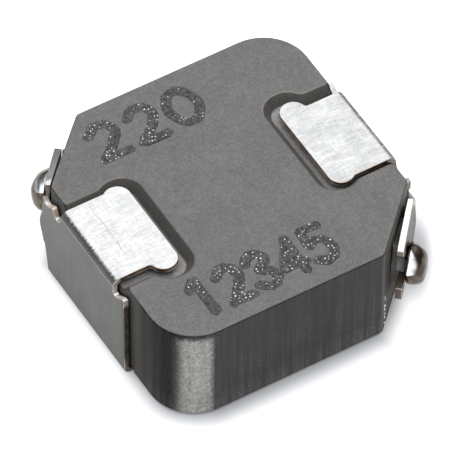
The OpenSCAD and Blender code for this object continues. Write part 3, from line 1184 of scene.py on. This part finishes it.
def wire_material():
    """Enamelled copper in the winding, and bare tinned wire where it leaves the block."""
    board = Board("enamelled_copper")
    way_out = cut_mid.length * math.sqrt(2)
    bare = board.step(board.gap(board.x, board.y), way_out - 0.15, way_out - 0.05)
    hue = board.mottle(2, 2, (0.62, 0.27, 0.12), (0.5, 0.2, 0.085))
    tinned = board.shade((0.6, 0.6, 0.6), board.vary(board.noise(8, 3), 0.8, 1.15))
    board.bump(board.noise(12, 2), 0.004, 0.3)
    return board.finish(
        board.blend(bare, hue, tinned), board.between(bare, 0.25, 0.3), board.between(bare, 1, 0.1))


def burnt_material():
    """The dull dark surface that a marking beam leaves on the powder."""
    board = Board("burnt_mark")
    grain = board.noise(13, 3)
    colour = board.shade(
        (0.076, 0.074, 0.072), board.vary(grain, 0.35, 1.7),
        board.vary(board.noise(3.5, 2), 0.8, 1.25))
    depth = board.times(board.minus(board.z, block_top), 1 / mark_thick)
    depth = board.plus(depth, board.vary(board.noise(16, 3), -0.3, 0.3))
    colour = board.blend(board.step(depth, 0.05, 0.6), (0.175, 0.17, 0.165), colour)
    board.bump(grain, 0.006, 0.6)
    return board.finish(colour, 0.7)


def drop_material():
    """Small drops of melted metal, brighter and duller by turns."""
    board = Board("melted_drop")
    colour = board.shade((0.8, 0.79, 0.77), board.vary(board.noise(9), 0.6, 1.05))
    return board.finish(colour, 0.35, 0.85)


def residue_material(level):
    """Brown welding smoke baked to a crust of the given paleness, with a few gilt grains in it."""
    board = Board("weld_residue")
    grain = board.noise(13, 3)
    colour = board.shade(
        board.mottle(3, 3, (0.17, 0.152, 0.13), (0.2, 0.188, 0.172)), level,
        board.vary(grain, 0.6, 1.35))
    gilt = board.step(board.noise(26, 1), 0.72, 0.78)
    board.bump(grain, 0.01, 0.6)
    return board.finish(board.blend(gilt, colour, (0.6, 0.5, 0.34)), 0.55)


# ---- the part --------------------------------------------

luck = random.Random(7)
noise.seed_set(7)
powder, copper_line = powder_material(), copper_line_material()
# the left terminal's fold and crook get painted highlights; the right terminal's fold gets painted
# shade, and its wing top a painted highlight
edge_metals = {
    "left": cut_edge_material(tip=(0.24, 0.238, 0.232), root=(0.34, 0.35, 0.36),
                              fold=(0.98, 0.97, 0.95), crook_copper_and_light=(0.98, 0.75, 0.63)),
    "right": cut_edge_material(tip=(0.95, 0.94, 0.93), root=(0.95, 0.94, 0.93),
                               fold=(0.3, 0.3, 0.31), crook_copper_and_light=(0.25, 0.21, 0.175)),
}
bead_metals = {
    "left": bead_material((-0.62, -0.07, 0.76), spread=0.965, level=0.75, stain=1.49),
    "right": bead_material((-0.61, -0.43, 0.66), spread=0.85, level=0.95, stain=-0.27),
}
# painted shade: the right crust is painted darker than the left
crusts = {"left": residue_material(1.0), "right": residue_material(0.55)}
drop_metal, burnt = drop_material(), burnt_material()
tins = {
    "left": tin_material([((-2.9, 1.0), (-2.92, -0.5))], 0.655),
    "right": tin_material([((2.25, -1.0), (2.6, -1.07))], 0.59),
}

finish_piece(make_block(), [powder], "pressed_powder", "core_body")
for side in ("left", "right"):
    sheet = make_terminal("terminal_sheet_" + side, side)
    bead = make_bead("weld_drop_" + side, side)
    residue = make_residue("weld_residue_" + side)
    if side == "right":
        for piece in (sheet, bead, residue):
            turn_round(piece)
    finish_piece(
        sheet, [tins[side], edge_metals[side], copper_line], "tinned_sheet", "terminal_" + side)
    finish_piece(bead, [bead_metals[side]], "weld_metal", "weld_bead_" + side)
    finish_piece(residue, [crusts[side]], "pressed_powder")
finish_piece(make_winding(), [wire_material()], "enamelled_copper", "coil_winding")
for text, corner, cell, pitch in marks:
    mark, track = make_mark(text, corner, cell, pitch)
    glints = make_glints(track, drops_per_digit * len(text), "glints_" + text)
    finish_piece(mark, [burnt], "pressed_powder")
    finish_piece(glints, [drop_metal], "pressed_powder")
finish_piece(make_spatter(), [drop_metal], "pressed_powder")


# ---- stage -----------------------------------------------

# the middle of the soft shadow, how dark it is under the part, and how bright the floor is past it
shadow_mid = (0.15, -0.03)
shadow_levels = (0.06, 0.75)

# the middle, half width and half length of the extra shade, measured along and across this turn
shade_turn = Vector((0.857, -0.516))
shade_mid = (4.1, 0.3)
shade_half = (0.47, 1.4)

# the studio's brightness at the horizon and overhead, and its two bright cards: the way to each,
# how nearly a mirrored ray must go that way to see it begin and see all of it, and its strength
studio_levels = (0.2, 0.5)
cards = [((-0.64, -0.62, 0.44), 0.3, 0.7, 1.2), ((-0.96, 0.19, 0.22), 0.93, 0.985, 0.9)]

# the camera's azimuth, elevation and roll in degrees, the place it looks at in millimetres, and
# its distance from there in metres
camera_turns = (-31.07, 50.01, 0.28)
camera_target = Vector((0.491, 0.772, 0.03))
camera_away = 0.14605
camera_lens = 518.2


def make_floor():
    """A pale floor that glows by itself, and glows less round the part, which paints a soft shadow
    there.
    """
    deselect()
    bpy.ops.mesh.primitive_plane_add(size=1.0, location=(0, 0, 0))
    floor = bpy.context.object
    floor.name = "floor"
    board = Board("floor")
    path = board.add("LightPath")
    seen = board.sum("MAXIMUM", path.outputs["Is Camera Ray"], path.outputs["Is Glossy Ray"])
    seen = board.sum("MAXIMUM", seen, path.outputs["Is Transmission Ray"])
    board.shader.inputs["Specular IOR Level"].default_value = 0
    board.shader.inputs["Emission Color"].default_value = (1, 1, 1, 1)
    past_x = board.minus(board.gap(board.x, shadow_mid[0]), half_l - 1)
    past_y = board.minus(board.gap(board.y, shadow_mid[1]), half_w - 1)
    past = board.slant(board.sum("MAXIMUM", past_x, 0), board.sum("MAXIMUM", past_y, 0))
    past_cut = board.minus(
        board.times(board.gap(board.x, board.y), math.sqrt(0.5)), cut_mid.length - 1.08)
    past = board.sum("MAXIMUM", past, past_cut)
    lift = board.step(past, 0.95, 1.58, *shadow_levels)
    # painted shadow: beside the right cut corner, where the wing and its weld drop stand over the
    # floor, it glows less still
    under_x = board.toward(shade_turn, board.x, board.y)
    under_y = board.toward((-shade_turn.y, shade_turn.x), board.x, board.y)
    under = board.slant(
        board.times(board.minus(under_x, shade_mid[0]), 1 / shade_half[0]),
        board.times(board.minus(under_y, shade_mid[1]), 1 / shade_half[1]))
    lift = board.times(lift, board.step(under, 0.3, 1.25))
    board.put(board.shader.inputs["Emission Strength"], board.times(seen, lift))
    floor.data.materials.append(board.finish((0.79, 0.8, 0.825), 0.9))


def make_world():
    """A dim studio: paler overhead than at the horizon."""
    world = bpy.data.worlds.new("studio")
    bpy.context.scene.world = world
    world.use_nodes = True
    studio = Nodes(world.node_tree)
    where = studio.add("TexCoord").outputs["Generated"]
    total = studio.step(studio.parts(where)[2], 0, 1, *studio_levels, kind="LINEAR")
    # the cards are seen only where metal mirrors them
    mirrored = studio.add("LightPath").outputs["Is Glossy Ray"]
    for facing, near, full, strength in cards:
        toward = studio.add("VectorMath", operation="DOT_PRODUCT")
        studio.put(toward.inputs[0], where)
        studio.put(toward.inputs[1], Vector(facing).normalized())
        card = studio.step(toward.outputs["Value"], near, full, 0, strength)
        total = studio.sum("MULTIPLY_ADD", card, mirrored, total)
    background = world.node_tree.nodes["Background"]
    studio.put_colour(background.inputs["Color"], (0.94, 0.97, 1.0))
    studio.put(background.inputs["Strength"], total)


def soft_light(name, at, target, size, radiance):
    """A square soft light of a given brightness, whatever its size and distance."""
    data = bpy.data.lights.new(name, "AREA")
    data.shape = "SQUARE"
    data.size = size
    data.energy = math.pi * size ** 2 * radiance
    lamp = bpy.data.objects.new(name, data)
    bpy.context.collection.objects.link(lamp)
    lamp.location = at
    aim = Vector(target) - Vector(at)
    lamp.rotation_euler = aim.to_track_quat("-Z", "Y").to_euler()


def make_camera():
    """A long lens, turned by the named angles about the place that it looks at."""
    azimuth, elevation, roll = (math.radians(a) for a in camera_turns)
    data = bpy.data.cameras.new("camera")
    data.sensor_width = 36
    data.lens = camera_lens
    data.clip_start, data.clip_end = 0.01, 10
    camera = bpy.data.objects.new("camera", data)
    bpy.context.collection.objects.link(camera)
    turn = Matrix.Rotation(azimuth, 4, "Z")
    turn = turn @ Matrix.Rotation(math.radians(90) - elevation, 4, "X")
    back = turn @ UPWARD * camera_away
    turn = turn @ Matrix.Rotation(roll, 4, "Z")
    camera.matrix_world = Matrix.Translation(camera_target * MM + back) @ turn
    bpy.context.scene.camera = camera


make_floor()
make_world()
soft_light("softbox", (0.02, 0.028, 0.085), (0, 0, 0), 0.17, 1.05)
make_camera()
bpy.context.scene.view_settings.view_transform = "Standard"
